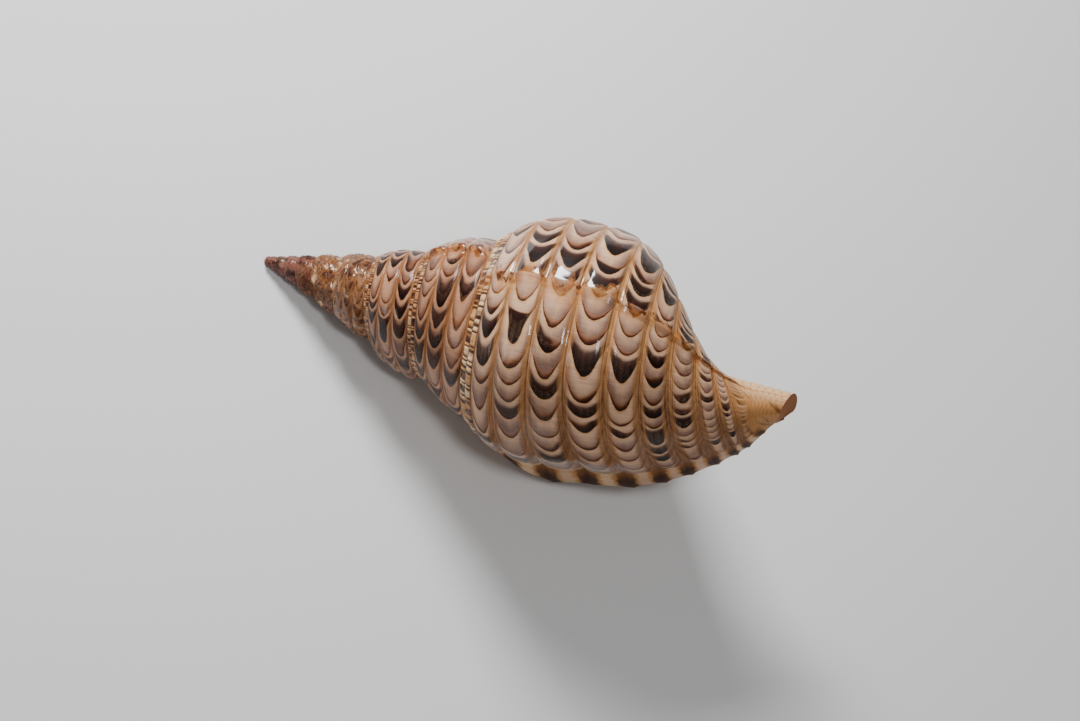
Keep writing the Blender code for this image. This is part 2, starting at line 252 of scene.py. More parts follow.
@dataclass(frozen=True)
class Sculpture:
    """Raised cords, beads, varices and growth ridges of the skin."""

    law: GrowthLaw
    grooves: tuple[float, ...] = (
        0.0, 0.13, 0.36, 0.67, 1.0, 1.24, 1.43, 1.578, 1.72, 1.825, 1.893, 2.0,
    )
    cord_height: float = 0.0055
    cord_squareness: float = 5.0
    cord_width: float = 0.2
    seam_fade: tuple[float, float] = (0.85, 1.0)
    thread_height: float = 0.0009
    thread_sides: tuple[float, float] = (0.86, 1.0)
    threads_from: float = 0.2
    canal_fade: tuple[float, float] = (1.85, 2.2)
    normal_step: float = 0.004
    bead_rows: tuple[float, float] = (0.03, 0.095)
    bead_half_width: float = 0.030
    bead_height: float = 0.0048
    beads_per_turn: int = 74
    bead_wobble: float = 0.9
    callus_fade: tuple[float, float] = (0.86, 0.97)
    varices: Keys = (
        (0.083, 0.004), (0.411, 0.007), (0.95, 0.010), (1.478, 0.017), (2.083, 0.017),
        (2.63, 0.016), (3.18, 0.016), (3.73, 0.016), (4.28, 0.016),
    )
    varix_back: float = 0.10
    varix_step: float = 0.012
    lip_tooth: float = 0.004
    lip_band: float = 0.05
    tongues_on_spire: float = 16.0
    tongues_added: float = 17.0
    tongue_fade: float = 1.3
    tongues_spared: float = 1.5
    spared_turns: float = 0.15
    fold_count: float = 19.0
    fold_span: float = 1.4
    fold_height: float = 0.0032
    worn_height: float = 0.011
    worn_turns: tuple[float, float] = (2.6, 4.0)

    def lane(self, station: np.ndarray) -> np.ndarray:
        """Cord number and fraction across it for each station."""
        ends = np.array(self.grooves + (3.0,))
        return np.interp(station, ends, np.arange(len(ends), dtype=float))

    def ripple(self, turns: np.ndarray, lane: np.ndarray) -> np.ndarray:
        """Uneven growth of the wall, between -1 and 1."""
        waves = ((7.3, 0.9, 0.4), (17.1, 0.37, 1.9), (31.7, 1.3, 4.1), (45.9, 0.61, 2.6))
        total = np.zeros_like(turns)
        for count, drift, phase in waves:
            total = total + np.sin(2.0 * math.pi * (count * turns + drift * lane) + phase)
        return total / len(waves)

    def height(self, turns: np.ndarray, station: np.ndarray) -> np.ndarray:
        """Height of the skin over the plain surface.

        Args:
            turns: Turns back from the lip.
            station: Stations across the surface.

        Returns:
            Heights in shell lengths.
        """
        law = self.law
        size = law.growth(turns)
        lane = self.lane(station)
        cord = np.clip(np.floor(lane).astype(int), 0, len(self.grooves) - 2)
        ends = np.array(self.grooves)
        across = np.abs(2.0 * np.clip(lane - cord, 0.0, 1.0) - 1.0)
        width = np.sqrt((ends[cord + 1] - ends[cord]) / self.cord_width)
        round_top = 1.0 - across**self.cord_squareness
        cords = self.cord_height * width * round_top
        meets = np.where(turns >= 1.0, 1.0 - ease(station, *self.seam_fade), 1.0)
        thread = self.thread_height * ease(across, *self.thread_sides)
        cords = cords + thread * (station > self.threads_from) * meets
        beads = np.zeros_like(station)
        beat = 0.5 + 0.5 * np.cos(2.0 * math.pi * self.bead_count(turns))
        for index, centre in enumerate(self.bead_rows):
            hump = np.clip(1.0 - ((station - centre) / self.bead_half_width) ** 2, 0.0, 1.0)
            beads = np.maximum(beads, hump * (0.35 + 0.65 * (beat if index else 1.0 - beat)))
        cords = np.where(station < self.grooves[1], self.bead_height * beads, cords)
        cords = cords * (1.0 - ease(station, 2.0, 2.35))
        covered = ease(turns, *self.callus_fade) * (station > 1.0) * (turns < 1.5)
        edge = ease(station, 0.0, 0.12) * (1.0 - ease(station, *self.canal_fade)) * meets
        swelling = np.zeros_like(station)
        for crest, height in self.varices:
            back = turns - crest
            behind = np.clip(1.0 - back / self.varix_back, 0.0, 1.0) ** 2
            ahead = np.clip(1.0 + back / self.varix_step, 0.0, 1.0)
            swelling = np.maximum(swelling, height * np.where(back >= 0.0, behind, ahead))
        knobs = 0.78 + 0.22 * round_top
        worn = self.worn_height * ease(turns, *self.worn_turns) * self.ripple(1.9 * turns, 3.0 * lane)
        rough = edge * (self.ripple(turns, lane) * (0.0003 + 0.09 * swelling) + worn)
        lip = 1.0 - ease(turns, 0.0, self.lip_band)
        teeth = self.lip_tooth * across**3 * lip * ease(station, 0.0, 0.12)
        teeth = teeth * (1.0 - ease(station, *self.canal_fade))
        skin = size * (cords * (1.0 - lip) + teeth + swelling * edge * knobs + rough)
        return skin * (1.0 - covered) + self.folds(turns, station) * covered

    def folds(self, turns: np.ndarray, station: np.ndarray) -> np.ndarray:
        """Height of the columella's folds, which fade into the mouth."""
        turn = 2.0 * math.pi * self.fold_count / self.fold_span
        beat = np.clip(np.cos(turn * (station - 1.0)), 0.0, 1.0)
        reach = (1.0 - ease(turns, 1.05, 1.22)) * ease(station, 1.07, 1.16)
        return self.fold_height * beat * reach * (1.0 - ease(station, 2.3, 2.6))

    def outside(self, turns: np.ndarray, station: np.ndarray) -> np.ndarray:
        """Points of the sculpted outer surface, in the shell's own frame."""
        near = self.normal_step
        place, radius = self.law.profile(turns, station)
        place_1, radius_1 = self.law.profile(turns, np.clip(station - near, 0.0, 3.0))
        place_2, radius_2 = self.law.profile(turns, np.clip(station + near, 0.0, 3.0))
        along = np.hypot(place_2 - place_1, radius_2 - radius_1)
        height = self.height(turns, station)
        place = place - (radius_2 - radius_1) / along * height
        radius = radius + (place_2 - place_1) / along * height
        return self.law.in_space(place, radius, turns)

    def marks(self, turns: np.ndarray) -> tuple[np.ndarray, np.ndarray]:
        """Nearest growth stop of each turn, and how many lie between it and the lip."""
        crests = np.array([crest for crest, _ in self.varices])
        nearest = crests[np.argmin(np.abs(turns[:, None] - crests[None, :]), axis=1)]
        between = np.searchsorted(crests, turns, side="right").astype(float)
        return nearest, between

    def bead_count(self, turns: np.ndarray) -> np.ndarray:
        """Beads along the suture, counted from the lip, unevenly spaced."""
        return self.beads_per_turn * turns + self.bead_wobble * self.ripple(turns, np.zeros_like(turns))

    def tongues(self, turns: np.ndarray) -> np.ndarray:
        """Colour tongues counted from the lip, closest together just behind it."""
        added = self.tongues_added * self.tongue_fade * (1.0 - np.exp(-turns / self.tongue_fade))
        added = added - self.tongues_spared * ease(turns, 0.0, self.spared_turns)
        return self.tongues_on_spire * turns + added


@dataclass(frozen=True)
class Mouth:
    """Lip and hollow of the last turn."""

    law: GrowthLaw
    sculpture: Sculpture
    wall: float = 0.013
    lip_round: float = 0.006
    lip_point: float = 0.35
    least_gap: float = 0.006
    depth: float = 0.88
    corner: float = 1.07
    canal_end: float = 0.985
    end_bulge: float = 0.004
    dense: int = 480
    tooth_height: float = 0.0055
    tooth_reach: float = 0.07

    def section(self, depth: float) -> tuple[np.ndarray, np.ndarray, np.ndarray, float, float]:
        """Cross-section of the hollow.

        Args:
            depth: Turns in from the lip.

        Returns:
            The run of places, the radii of both walls over it, and the hollow's two ends.
        """
        law = self.law
        station = np.linspace(0.0, 3.0, self.dense)
        place, radius = law.profile(np.full(self.dense, depth), station)
        slope = np.gradient(radius, place)
        length = np.sqrt(1.0 + slope**2)
        inner_station = 1.0 + station * 2.0 / 3.0
        inner_place, inner_radius = law.profile(np.full(self.dense, 1.0 + depth), inner_station)
        run = np.linspace(inner_place[0], 1.0, self.dense)
        outer = np.interp(run, place + self.wall * slope / length, radius - self.wall / length)
        inner = np.interp(run, inner_place, inner_radius)
        start = float(law.profile(1.0 + depth, self.corner)[0])
        widest = int(np.argmax(outer - inner))
        closed = np.flatnonzero((outer - inner < self.least_gap) & (np.arange(self.dense) > widest))
        end = float(run[closed[0]]) if len(closed) else 1.0
        return run, outer, inner, start, min(end, self.canal_end) if depth > 0.0 else end

    def teeth(self, depths: np.ndarray, station: np.ndarray) -> np.ndarray:
        """Height of the paired teeth inside the lip, at the grooves."""
        lane = self.sculpture.lane(station)
        off = lane - np.round(lane)
        pair = np.exp(-(((np.abs(off) - 0.13) / 0.075) ** 2))
        reach = (1.0 - ease(depths, 0.02, self.tooth_reach)) * ease(station, 0.2, 0.4)
        return self.tooth_height * pair * reach * (1.0 - ease(station, 1.95, 2.1))

    def walls(self, depths: np.ndarray, station: np.ndarray, side: Side) -> np.ndarray:
        """Points of one wall of the hollow.

        Args:
            depths: Turns in from the lip.
            station: Stations of the surface behind the wall.
            side: The outer wall or the columella.

        Returns:
            Points in the shell's own frame.
        """
        is_outer = side is Side.OUTER_WALL
        points = np.zeros((len(depths), 3))
        for depth in np.unique(depths):
            rows = depths == depth
            if depth == 0.0 and not is_outer:
                points[rows] = self.sculpture.outside(np.ones(rows.sum()), station[rows])
                continue
            run, outer, inner, start, end = self.section(depth)
            turns = np.full(rows.sum(), depth if is_outer else 1.0 + depth)
            place, own_radius = self.law.profile(turns, station[rows])
            first = float(self.law.seam(depth)[0]) if is_outer else start
            place = start + (place - first) * (end - start) / (1.0 - first)
            on_inner = np.interp(place, run, inner)
            if end == 1.0:
                on_inner = on_inner if is_outer else own_radius
            radius = np.interp(place, run, outer) if is_outer else on_inner
            shut = (place < start + 1.0e-7) | ((place > end - 1.0e-7) & (end < 1.0))
            if is_outer:
                radius = radius - self.teeth(depths[rows], station[rows])
            else:
                radius = radius + self.sculpture.folds(turns, station[rows])
            radius = np.where(shut, on_inner, radius)
            points[rows] = self.law.in_space(place, radius, turns)
        return points


@dataclass(frozen=True)
class Fineness:
    """Rows and columns of the skin's mesh."""

    band_rows: tuple[int, ...] = (864, 432, 432, 216, 216, 108, 108, 54, 54, 54)
    band_columns: tuple[float, ...] = (0.0, 0.015, 0.03, 0.045, 0.06, 0.0775, 0.095, 0.1125, 0.13)
    wide: tuple[float, ...] = (0.0, 0.06, 0.14, 0.26, 0.4, 0.6, 0.74, 0.86, 0.94)
    narrow: tuple[float, ...] = (0.0, 0.1, 0.26, 0.5, 0.74, 0.9)
    narrow_from: float = 1.43
    corner_columns: int = 6
    canal_columns: int = 12
    mouth_rows: int = 50
    weld: float = 6.0e-6
    plate_turns: float = 0.5
    apex_turns: float = 7.5
    apex_lane: float = 2.5

    def main_columns(self, sculpture: Sculpture, corner: float) -> np.ndarray:
        """Stations of the columns from the beads to the canal's end."""
        columns: list[float] = []
        for low, high in zip(sculpture.grooves[1:-1], sculpture.grooves[2:]):
            shares = self.narrow if low >= self.narrow_from else self.wide
            if low == 1.0:
                columns.extend(np.linspace(low, corner, self.corner_columns, endpoint=False))
                shares = (corner - low) / (high - low), *shares[4:]
            columns.extend(low + share * (high - low) for share in shares)
        columns.extend(np.linspace(2.0, 3.0, self.canal_columns + 1))
        return np.array(columns)


class Graph:
    """Short hand for laying out a material's nodes."""

    def __init__(self, material: bpy.types.Material) -> None:
        """Empty the material's node tree and keep it."""
        material.use_nodes = True
        self.tree = material.node_tree
        self.tree.nodes.clear()

    def node(self, kind: str, **settings: object) -> bpy.types.Node:
        """Add a node and set its properties."""
        made = self.tree.nodes.new(kind)
        for name, value in settings.items():
            setattr(made, name, value)
        return made

    def feed(self, socket: bpy.types.NodeSocket, value: object) -> None:
        """Link a socket to another socket, or set its value."""
        if isinstance(value, bpy.types.NodeSocket):
            self.tree.links.new(value, socket)
        else:
            socket.default_value = value

    def calc(self, operation: str, *values: object, clamp: bool = False) -> bpy.types.NodeSocket:
        """Result of a Math node on numbers or sockets."""
        made = self.node("ShaderNodeMath", operation=operation, use_clamp=clamp)
        for socket, value in zip(made.inputs, values):
            self.feed(socket, value)
        return made.outputs[0]

    def product(self, *values: object) -> bpy.types.NodeSocket:
        """Numbers or sockets multiplied together, from the left."""
        total = values[0]
        for value in values[1:]:
            total = self.calc("MULTIPLY", total, value)
        return total

    def sway(self, value: object, amount: float) -> bpy.types.NodeSocket:
        """A noise or chance from 0 to 1 turned into a change by up to half the amount each way."""
        return self.calc("MULTIPLY", self.calc("SUBTRACT", value, 0.5), amount)

    def window(self, value: object, rise: tuple[float, float],
               fall: tuple[float, float]) -> bpy.types.NodeSocket:
        """Smooth band that rises over one range and falls over another."""
        return self.product(self.step(value, *rise), self.step(value, *fall))

    def step(self, value: object, low: float, high: float) -> bpy.types.NodeSocket:
        """Smooth step from 0 at low to 1 at high, or falling where low is the greater."""
        made = self.node("ShaderNodeMapRange", interpolation_type="SMOOTHSTEP")
        rising = high >= low
        self.feed(made.inputs["Value"], value)
        made.inputs["From Min"].default_value = min(low, high)
        made.inputs["From Max"].default_value = max(low, high)
        made.inputs["To Min"].default_value = 0.0 if rising else 1.0
        made.inputs["To Max"].default_value = 1.0 if rising else 0.0
        return made.outputs["Result"]

    def mix(self, share: object, low: object, high: object) -> bpy.types.NodeSocket:
        """Colour between low and high."""
        made = self.node("ShaderNodeMix", data_type="RGBA")
        self.feed(made.inputs[0], share)
        self.feed(made.inputs[6], low)
        self.feed(made.inputs[7], high)
        return made.outputs[2]

    def ramp(self, value: object, stops: Sequence[tuple[float, Colour]]) -> bpy.types.NodeSocket:
        """Colour along a ramp of stops."""
        made = self.node("ShaderNodeValToRGB")
        self.feed(made.inputs[0], value)
        band = made.color_ramp
        while len(band.elements) < len(stops):
            band.elements.new(1.0)
        for element, (place, colour) in zip(band.elements, stops):
            element.position = place
            element.color = colour
        return made.outputs[0]

    def vector(self, x: object, y: object, z: object = 0.0) -> bpy.types.NodeSocket:
        """Vector of three numbers or sockets."""
        made = self.node("ShaderNodeCombineXYZ")
        for socket, value in zip(made.inputs, (x, y, z)):
            self.feed(socket, value)
        return made.outputs[0]

    def chance(self, vector: bpy.types.NodeSocket) -> bpy.types.NodeSocket:
        """Random number from 0 to 1, the same wherever the vector is."""
        made = self.node("ShaderNodeTexWhiteNoise", noise_dimensions="3D")
        self.feed(made.inputs["Vector"], vector)
        return made.outputs["Value"]

    def noise(self, vector: bpy.types.NodeSocket, scale: float, detail: float = 2.0,
              roughness: float = 0.5) -> bpy.types.NodeSocket:
        """Soft noise from 0 to 1 at a scale."""
        made = self.node("ShaderNodeTexNoise", noise_dimensions="3D")
        self.feed(made.inputs["Vector"], vector)
        made.inputs["Scale"].default_value = scale
        made.inputs["Detail"].default_value = detail
        made.inputs["Roughness"].default_value = roughness
        return made.outputs["Fac"]

    def grain(self, along: object, along_scale: float, across: object, across_scale: float,
              detail: float = 2.0) -> bpy.types.NodeSocket:
        """Soft noise over two numbers, each with its own scale.

        Args:
            along: First number or socket.
            along_scale: Noise cells per unit of the first.
            across: Second number or socket.
            across_scale: Noise cells per unit of the second.
            detail: Octaves of finer noise.

        Returns:
            The noise, from 0 to 1.
        """
        place = self.vector(self.product(along, along_scale), self.product(across, across_scale))
        return self.noise(place, 1.0, detail)

    def uv(self, name: str) -> tuple[bpy.types.NodeSocket, bpy.types.NodeSocket]:
        """The two values of a UV map."""
        read = self.node("ShaderNodeUVMap", uv_map=name)
        split = self.node("ShaderNodeSeparateXYZ")
        self.feed(split.inputs[0], read.outputs[0])
        return split.outputs[0], split.outputs[1]

    def object_place(self) -> bpy.types.NodeSocket:
        """Object coordinates, with the side across the shell turned to face the lip."""
        turned = self.node("ShaderNodeVectorMath", operation="MULTIPLY")
        self.feed(turned.inputs[0], self.node("ShaderNodeTexCoord").outputs["Object"])
        turned.inputs[1].default_value = (1.0, -1.0, 1.0)
        return turned.outputs["Vector"]

    def finish(self, colour: object, roughness: object, height: object, bump: float,
               coat: object, coat_roughness: float) -> None:
        """Lead colour, roughness and relief into a glossy surface."""
        relief = self.node("ShaderNodeBump")
        relief.inputs["Strength"].default_value = 1.0
        relief.inputs["Distance"].default_value = bump
        self.feed(relief.inputs["Height"], height)
        surface = self.node("ShaderNodeBsdfPrincipled")
        self.feed(surface.inputs["Base Color"], colour)
        self.feed(surface.inputs["Roughness"], roughness)
        self.feed(surface.inputs["Normal"], relief.outputs[0])
        surface.inputs["Specular IOR Level"].default_value = 0.05
        self.feed(surface.inputs["Coat Weight"], coat)
        surface.inputs["Coat Roughness"].default_value = coat_roughness
        output = self.node("ShaderNodeOutputMaterial")
        self.feed(output.inputs["Surface"], surface.outputs[0])


@dataclass(frozen=True)
class Chart:
    """Sockets that say where on the shell a point of the skin lies.

    "side" is 0 on a cord's crest and 1 at its grooves, "behind" is turns back from the nearest
    growth stop, and "between" counts the stops from the lip.
    """

    turns: bpy.types.NodeSocket
    lane: bpy.types.NodeSocket
    cord: bpy.types.NodeSocket
    side: bpy.types.NodeSocket
    behind: bpy.types.NodeSocket
    between: bpy.types.NodeSocket
    tongues: bpy.types.NodeSocket
    beads: bpy.types.NodeSocket
    place: bpy.types.NodeSocket
    fine: bpy.types.NodeSocket
    blotch: bpy.types.NodeSocket


@dataclass(frozen=True)
class SkinFinish:
    """Scale-marked, glossy outside of the shell."""

    pale: Colour = (0.62, 0.375, 0.235, 1.0)
    mauve: Colour = (0.17, 0.092, 0.072, 1.0)
    tan: Colour = (0.42, 0.130, 0.020, 1.0)
    brown: Colour = (0.095, 0.024, 0.007, 1.0)
    dark: Colour = (0.008, 0.003, 0.002, 1.0)
    smoke: Colour = (0.085, 0.043, 0.031, 1.0)
    maroon: Colour = (0.030, 0.009, 0.006, 1.0)
    golden: Colour = (0.50, 0.235, 0.080, 1.0)
    groove: Colour = (0.25, 0.098, 0.028, 1.0)
    thread: Colour = (0.11, 0.038, 0.012, 1.0)
    cream: Colour = (0.72, 0.47, 0.26, 1.0)
    pink: Colour = (0.20, 0.070, 0.055, 1.0)
    terracotta: Colour = (0.36, 0.135, 0.055, 1.0)
    spire_tint: Colour = (0.72, 0.60, 0.54, 1.0)
    more_per_cord: float = 0.035
    tongue: float = 1.25
    tongue_power: float = 2.0

    def chart(self, g: Graph) -> Chart:
        """Read the maps of the skin."""
        turns, lane = g.uv("growth")
        behind, between = g.uv("marks")
        tongues, beads = g.uv("counts")
        place = g.object_place()
        across = g.calc("SUBTRACT", g.calc("MULTIPLY", g.calc("FRACT", lane), 2.0), 1.0)
        fine = g.grain(turns, 60.0, lane, 3.0)
        return Chart(turns, lane, g.calc("FLOOR", lane), g.calc("ABSOLUTE", across), behind, between,
                     tongues, beads, place, fine, g.noise(place, 260.0, 3.0))

    def scales(self, g: Graph, on: Chart) -> bpy.types.NodeSocket:
        """Overlapping scales down the middle of each cord, some thinly edged and some all dark."""
        calc = g.calc
        wander = g.grain(on.turns, 11.0, on.cord, 7.31, 1.0)
        own = g.chance(g.vector(on.cord, on.between, 3.7))
        rate = calc("ADD", calc("MULTIPLY", on.cord, self.more_per_cord), 0.95)
        phase = g.product(on.tongues, rate, -1.0)
        bow = calc("MULTIPLY", calc("POWER", on.side, self.tongue_power), self.tongue)
        phase = calc("ADD", phase, bow)
        phase = calc("ADD", phase, g.sway(wander, 2.2))
        phase = calc("ADD", phase, g.sway(on.fine, 0.16))
        phase = calc("ADD", phase, calc("MULTIPLY", own, 9.0))
        run = calc("FRACT", phase)

        luck = g.chance(g.vector(on.cord, calc("FLOOR", phase), calc("ADD", on.between, 0.3)))
        drift = g.grain(on.turns, 7.0, on.lane, 0.6, 1.0)
        luck = calc("ADD", luck, g.sway(drift, 0.9))
        luck = calc("ADD", luck, calc("MULTIPLY", g.step(on.turns, 0.9, 1.2), 0.14))
        older = g.window(on.behind, (0.0, 0.006), (0.060, 0.030))
        newer = g.window(on.behind, (-0.055, -0.030), (0.0, -0.006))
        blocks = calc("MULTIPLY", calc("SUBTRACT", older, calc("MULTIPLY", newer, 0.8)), 0.42)
        luck = calc("ADD", luck, calc("MULTIPLY", blocks, g.step(on.turns, 0.2, 0.3)))
        luck = calc("SUBTRACT", luck, calc("MULTIPLY", g.step(on.lane, 7.0, 10.0), 0.16), clamp=True)
        strong = g.step(luck, 0.48, 0.62)
        width = calc("ADD", calc("MULTIPLY", luck, 0.30), calc("MULTIPLY", strong, 0.40))
        width = calc("ADD", width, 0.20)
        slim = calc("SUBTRACT", 1.0, calc("MULTIPLY", calc("POWER", on.side, 2.0), 0.65))
        width = calc("MULTIPLY", width, slim)
        share = calc("ADD", calc("DIVIDE", calc("SUBTRACT", run, 1.0), width), 1.0)
        soft = calc("SUBTRACT", 0.70, calc("MULTIPLY", strong, 0.45))
        cover = calc("DIVIDE", calc("ADD", share, 0.06), soft, clamp=True)
        faint = calc("MULTIPLY", calc("SUBTRACT", 1.0, strong), g.step(on.lane, 6.5, 9.5))
        cover = calc("MULTIPLY", cover, calc("SUBTRACT", 1.0, calc("MULTIPLY", faint, 0.75)))

        tint = g.noise(g.vector(calc("MULTIPLY", on.turns, 5.0), on.lane), 1.3, 3.0)
        own_tint = g.chance(g.vector(on.cord, calc("FLOOR", phase), 9.1))
        veil = calc("ADD", run, g.sway(tint, 1.6))
        veil = calc("ADD", veil, calc("MULTIPLY", own_tint, 0.35))
        ground = g.mix(g.step(veil, 0.1, 1.2), self.pale, self.mauve)
        edged = g.ramp(share, ((0.0, self.tan), (0.55, self.brown), (0.92, self.dark)))
        filled = g.ramp(share, ((0.0, self.smoke), (0.35, self.maroon), (0.75, self.dark)))
        colour = g.mix(cover, ground, g.mix(strong, edged, filled))
        rim = calc("SUBTRACT", 0.7, calc("MULTIPLY", faint, 0.5))
        rim = calc("MULTIPLY", g.step(run, 0.10, 0.03), rim)
        return g.mix(rim, colour, self.golden)

    def sides(self, g: Graph, on: Chart) -> bpy.types.NodeSocket:
        """How far a point belongs to the golden stripe along a groove."""
        calc = g.calc
        reach = calc("ADD", on.side, calc("MULTIPLY", g.step(on.turns, 0.40, 0.05), 0.26))
        reach = calc("ADD", reach, calc("MULTIPLY", g.step(on.lane, 4.0, 9.0), 0.20))
        reach = calc("ADD", reach, g.sway(on.fine, 0.25))
        return g.step(reach, 0.64, 0.94)

    def grooves(self, g: Graph, on: Chart) -> bpy.types.NodeSocket:
        """Golden stripes with fine brown threads."""
        calc = g.calc
        streak = g.grain(on.lane, 30.0, on.turns, 6.0)
        older = g.mix(g.step(on.turns, 0.08, 0.45), self.groove, self.golden)
        stripe = g.mix(g.step(streak, 0.42, 0.66), older, self.thread)
        thread = calc("MULTIPLY", g.step(on.side, 0.94, 0.99), 0.55)
        return g.mix(thread, stripe, self.thread)

    def canal(self, g: Graph, on: Chart) -> bpy.types.NodeSocket:
        """Golden canal with brown streaks and crossing hair lines, its back, the side on top, painted
        pale as a painted highlight from the light above.
        """
        calc = g.calc
        lean = calc("ADD", calc("MULTIPLY", on.turns, 9.0), calc("MULTIPLY", on.lane, 2.2))
        along = calc("SUBTRACT", calc("MULTIPLY", on.lane, 0.9), calc("MULTIPLY", on.turns, 2.0))
        streak = g.noise(g.vector(calc("MULTIPLY", lean, 1.6), along), 1.0, 3.0)
        colour = g.mix(g.step(streak, 0.50, 0.66), self.golden, self.groove)
        colour = g.mix(calc("MULTIPLY", g.step(streak, 0.60, 0.72), 0.7), colour, self.thread)
        # Painted highlight: the back of the canal, which faces up, is mixed towards cream where the
        # light from above falls.
        pale = calc("MULTIPLY", g.step(on.turns, 0.25, 0.42), g.step(on.lane, 10.2, 11.4))
        colour = g.mix(calc("MULTIPLY", pale, 0.8), colour, self.cream)
        for turn in (34.0, -60.0):
            count = calc("ADD", calc("MULTIPLY", on.lane, 46.0), calc("MULTIPLY", on.turns, turn))
            hair = calc("MULTIPLY", g.step(calc("SINE", count), 0.5, 0.98), 0.28)
            colour = g.mix(hair, colour, self.groove)
        return g.mix(g.step(on.lane, 12.5, 12.8), colour, self.terracotta)

    def beads(self, g: Graph, on: Chart) -> bpy.types.NodeSocket:
        """Two rows of light beads on a dark band along the suture."""
        calc = g.calc
        upper_row = g.step(on.lane, 0.47, 0.49)
        count = calc("ADD", on.beads, calc("MULTIPLY", calc("SUBTRACT", 1.0, upper_row), 0.5))
        beat = calc("COSINE", calc("MULTIPLY", count, 2.0 * math.pi))
        own = g.chance(g.vector(calc("ROUND", count), upper_row))
        row = calc("FRACT", calc("MULTIPLY", on.lane, 2.0))
        row = calc("ABSOLUTE", calc("SUBTRACT", calc("MULTIPLY", row, 2.0), 1.0))
        reach = calc("SUBTRACT", calc("MULTIPLY", own, 1.1), 0.20)
        knob = calc("ADD", calc("MULTIPLY", calc("ADD", beat, reach), 1.1), 0.30, clamp=True)
        knob = calc("MULTIPLY", knob, g.step(row, 0.98, 0.60))
        kind = g.chance(g.vector(calc("ROUND", count), upper_row, 5.1))
        top = g.mix(g.step(kind, 0.45, 0.95), self.cream, self.golden)
        top = g.mix(calc("MULTIPLY", g.step(on.blotch, 0.52, 0.66), 0.6), top, self.groove)
        return g.mix(knob, g.mix(g.step(on.blotch, 0.42, 0.6), self.maroon, self.thread), top)

    def stops(self, g: Graph, on: Chart, colour: bpy.types.NodeSocket) -> bpy.types.NodeSocket:
        """Amber bands with a ragged dark line, and knots, where growth stopped."""
        calc = g.calc
        near = calc("ADD", on.behind, g.sway(g.grain(on.lane, 2.6, on.turns, 14.0, 3.0), 0.085))
        past_lip = g.step(on.turns, 0.2, 0.25)
        amber = g.product(g.window(near, (-0.030, -0.004), (0.010, 0.002)), past_lip, 0.55)
        colour = g.mix(amber, colour, g.mix(g.step(on.blotch, 0.40, 0.60), self.tan, self.golden))
        line = g.window(near, (-0.003, 0.001), (0.009, 0.003))
        line = g.product(line, past_lip, g.step(on.blotch, 0.40, 0.60))
        colour = g.mix(line, colour, self.brown)
        crest = g.window(on.behind, (0.075, 0.0), (-0.012, -0.002))
        knots = g.ramp(on.blotch, (
            (0.40, self.brown), (0.48, self.tan), (0.55, self.cream), (0.62, self.groove),
        ))
        crest = g.product(crest, g.step(on.turns, 1.2, 1.5), 0.8)
        return g.mix(crest, colour, knots)

    def worn(self, g: Graph, on: Chart, colour: bpy.types.NodeSocket) -> bpy.types.NodeSocket:
        """Blotched upper spire that ends in a dusky pink tip."""
        calc = g.calc
        burgundy = g.node("ShaderNodeMix", data_type="RGBA", blend_type="MULTIPLY")
        g.feed(burgundy.inputs[0], g.step(on.turns, 0.95, 1.25))
        g.feed(burgundy.inputs[6], colour)
        g.feed(burgundy.inputs[7], self.spire_tint)
        lumps = g.noise(on.place, 110.0, 3.0)
        patches = g.ramp(lumps, (
            (0.36, self.dark), (0.44, self.brown), (0.52, self.groove), (0.57, self.smoke),
            (0.61, self.groove), (0.68, self.cream),
        ))
        share = calc("MULTIPLY", g.step(on.turns, 2.7, 3.6), 0.78)
        colour = g.mix(share, burgundy.outputs[2], patches)
        dusk = g.mix(g.step(on.blotch, 0.42, 0.56), self.maroon, self.pink)
        return g.mix(calc("MULTIPLY", g.step(on.turns, 4.9, 5.8), 0.85), colour, dusk)

    def lip(self, g: Graph, on: Chart, colour: bpy.types.NodeSocket) -> bpy.types.NodeSocket:
        """Flared edge with light blocks on the cords and brown ones at the grooves."""
        side = g.calc("ADD", on.side, g.sway(on.blotch, 0.5))
        light = g.mix(g.chance(g.vector(on.cord, 8.3)), self.cream, self.pale)
        blocks = g.mix(g.step(side, 0.18, 0.38), light, self.golden)
        low = g.mix(g.step(on.turns, 0.070, 0.035), self.groove, self.maroon)
        blocks = g.mix(g.step(side, 0.36, 0.62), blocks, low)
        blocks = g.mix(g.step(on.turns, 0.012, 0.002), blocks, self.tan)
        band = g.product(g.step(on.turns, 0.090, 0.074), g.step(on.lane, 11.5, 11.0), 0.9)
        colour = g.mix(band, colour, blocks)
        crease = g.window(on.turns, (0.078, 0.088), (0.102, 0.092))
        return g.mix(g.product(crease, g.step(on.lane, 6.0, 2.5), 0.65), colour, self.cream)

    def build(self) -> bpy.types.Material:
        """Make the material.

        Returns:
            The material, which reads the growth, marks and counts maps of the skin.
        """
        material = bpy.data.materials.new("shell_skin")
        g = Graph(material)
        calc = g.calc
        on = self.chart(g)
        sides = self.sides(g, on)
        colour = g.mix(calc("MULTIPLY", sides, 0.85), self.scales(g, on), self.grooves(g, on))
        colour = g.mix(g.step(on.lane, 9.6, 11.2), colour, self.canal(g, on))
        colour = g.mix(g.step(on.lane, 1.02, 0.97), colour, self.beads(g, on))
        colour = self.stops(g, on, colour)
        colour = self.lip(g, on, self.worn(g, on, colour))
        callus = g.product(g.window(on.turns, (0.86, 0.97), (1.5, 1.4)), g.step(on.lane, 4.0, 4.1))
        colour = g.mix(callus, colour, self.tan)

